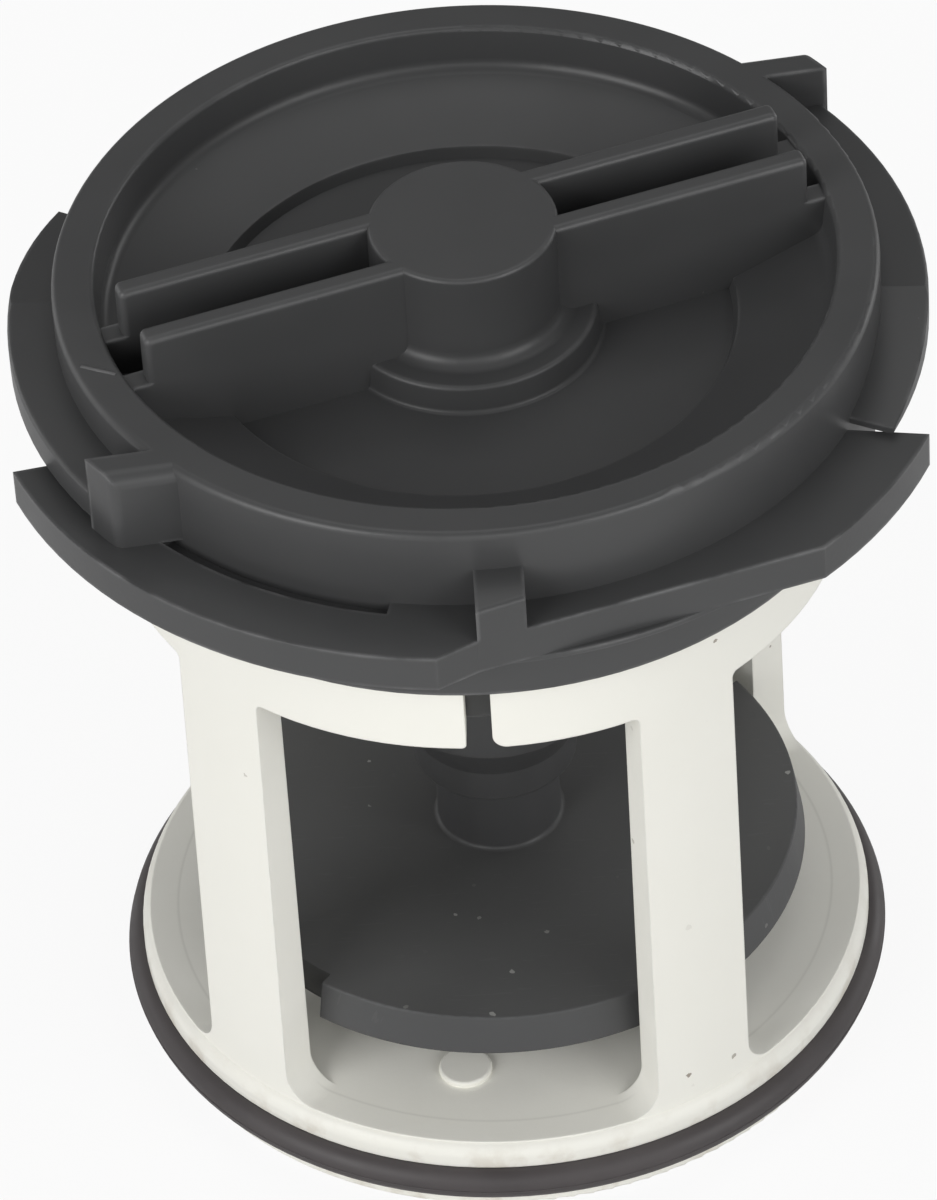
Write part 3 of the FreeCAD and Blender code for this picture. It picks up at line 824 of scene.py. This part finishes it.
@dataclass
class Seal:
    """The rubber ring."""

    node: bpy.types.Object
    flash: float = 0.05 * MM
    flash_sides: int = 8
    flash_steps: int = 180

    def build(self, effects: Effects) -> None:
        """Dress the ring and add its parting line.

        Args:
            effects: the shared shader groups.
        """
        material = SealRubber().build(effects)
        dress_node(self.node, material)
        self._parting_line(material)

    def _parting_line(self, material: bpy.types.Material) -> None:
        """Add the fine line that the mould leaves round the ring's outside.

        Args:
            material: its finish.
        """
        low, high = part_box("o_ring")
        widest = Vector((high.x, 0.0, (low.z + high.z) / 2))
        bm = bmesh.new()
        made = bmesh.ops.create_circle(bm, cap_ends=False, segments=self.flash_sides, radius=self.flash)
        bmesh.ops.rotate(bm, verts=made["verts"], matrix=Matrix.Rotation(math.pi / 2, 3, "X"))
        bmesh.ops.translate(bm, verts=made["verts"], vec=widest)
        bmesh.ops.spin(bm, geom=bm.verts[:] + bm.edges[:], cent=(0, 0, 0), axis=(0, 0, 1),
                       angle=2 * math.pi, steps=self.flash_steps, use_merge=True, use_duplicate=False)
        finish_mesh("seal_parting_line", bm, material)


@dataclass(frozen=True)
class Lamp:
    """A soft square lamp: its place, the side of its face and its power in watts."""

    name: str
    place: Point
    size: float
    power: float

    def hang(self, aim: Vector) -> None:
        """Put the lamp in the scene.

        Args:
            aim: the point that it shines at.
        """
        light = bpy.data.lights.new(self.name, "AREA")
        light.size = self.size
        light.energy = self.power
        lamp = bpy.data.objects.new(self.name, light)
        lamp.location = self.place
        lamp.rotation_euler = (aim - lamp.location).to_track_quat("-Z", "Y").to_euler()
        bpy.context.scene.collection.objects.link(lamp)


LAMPS = (
    Lamp("front_lamp", (0.10, -1.05, 0.42), 0.5, 1.2),
    Lamp("key_lamp", (-0.80, -0.72, 0.50), 0.7, 6.8),
    Lamp("side_lamp", (0.78, -0.72, 0.52), 0.7, 4.8),
    Lamp("back_left_lamp", (-0.95, 0.60, 0.26), 0.6, 1.5),
    Lamp("back_right_lamp", (0.95, 0.60, 0.26), 0.6, 2.0),
    Lamp("top_lamp", (0.05, 0.35, 1.10), 0.8, 1.7),
)


@dataclass
class Studio:
    """The floor, the light and the camera."""

    eye: Vector = field(default_factory=lambda: Vector((0.0, -0.4879746, 0.4825143)))
    aim: Vector = field(default_factory=lambda: Vector((-0.00147447, 0.0, 0.03993021)))
    roll: float = math.radians(-3.76421)
    lens: float = 239.396
    sensor: float = 36.0
    nearest: float = 0.01
    farthest: float = 20.0
    floor_half: float = 3.0
    floor_colour: Colour = (0.90, 0.90, 0.90)
    floor_roughness: float = 0.9
    floor_specular: float = 0.1
    backdrop_share: float = 0.9
    room_light: float = 0.22
    lamps: tuple[Lamp, ...] = LAMPS

    def build(self) -> None:
        """Set up the whole studio."""
        self._floor()
        self._room()
        for lamp in self.lamps:
            lamp.hang(self.aim)
        self._camera()
        bpy.context.scene.view_settings.view_transform = "Standard"

    def _floor(self) -> None:
        """Lay the pale floor, which keeps the part's shadow."""
        bm = bmesh.new()
        bmesh.ops.create_grid(bm, x_segments=1, y_segments=1, size=self.floor_half)
        mesh = bpy.data.meshes.new("floor")
        bm.to_mesh(mesh)
        bm.free()
        mesh.materials.append(self._floor_material())
        floor = bpy.data.objects.new("floor", mesh)
        bpy.context.scene.collection.objects.link(floor)

    def _floor_material(self) -> bpy.types.Material:
        """Make a pale matt floor that the camera sees as nearly white.

        Returns:
            The material.
        """
        material = bpy.data.materials.new("floor")
        material.use_nodes = True
        wiring = Wiring(material.node_tree)
        shader = wiring.tree.nodes["Principled BSDF"]
        wiring.feed(shader.inputs["Base Color"], self.floor_colour)
        wiring.feed(shader.inputs["Roughness"], self.floor_roughness)
        wiring.feed(shader.inputs["Specular IOR Level"], self.floor_specular)
        glow = wiring.node("ShaderNodeEmission")
        wiring.feed(glow.inputs["Color"], WHITE)
        path = wiring.node("ShaderNodeLightPath")
        share = wiring.maths("MULTIPLY", path.outputs["Is Camera Ray"], self.backdrop_share)
        both = wiring.node("ShaderNodeMixShader")
        wiring.link(share, both.inputs[0])
        wiring.link(shader.outputs[0], both.inputs[1])
        wiring.link(glow.outputs[0], both.inputs[2])
        wiring.link(both.outputs[0], wiring.tree.nodes["Material Output"].inputs["Surface"])
        return material

    def _room(self) -> None:
        """Light the part evenly from all round, with a white background."""
        world = bpy.data.worlds.new("room")
        bpy.context.scene.world = world
        world.use_nodes = True
        wiring = Wiring(world.node_tree)
        back = wiring.tree.nodes["Background"]
        wiring.feed(back.inputs["Color"], WHITE)
        path = wiring.node("ShaderNodeLightPath")
        seen = wiring.maths("MAXIMUM", path.outputs["Is Camera Ray"], path.outputs["Is Transmission Ray"])
        level = wiring.spread(seen, self.room_light, 1.0, 0.0, 1.0)
        wiring.link(level, back.inputs["Strength"])

    def _camera(self) -> None:
        """Place the camera at the picture's viewing angle."""
        data = bpy.data.cameras.new("camera")
        data.lens = self.lens
        data.sensor_width = self.sensor
        data.clip_start = self.nearest
        data.clip_end = self.farthest
        camera = bpy.data.objects.new("camera", data)
        look = (self.aim - self.eye).to_track_quat("-Z", "Y").to_matrix().to_4x4()
        camera.matrix_world = Matrix.Translation(self.eye) @ look @ Matrix.Rotation(self.roll, 4, "Z")
        bpy.context.scene.collection.objects.link(camera)
        bpy.context.scene.camera = camera


def main() -> None:
    """Build the scene in order."""
    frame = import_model()
    nodes = frame["nodes"]
    effects = Effects()
    for made in (Cap(nodes["cap"]), Cage(nodes["cage"]), Disc(nodes["disc"]), Seal(nodes["o_ring"])):
        made.build(effects)
        LOG.info("%s is dressed", type(made).__name__)
    Studio().build()


if __name__ == "__main__":
    logging.basicConfig(level=logging.INFO)
    main()
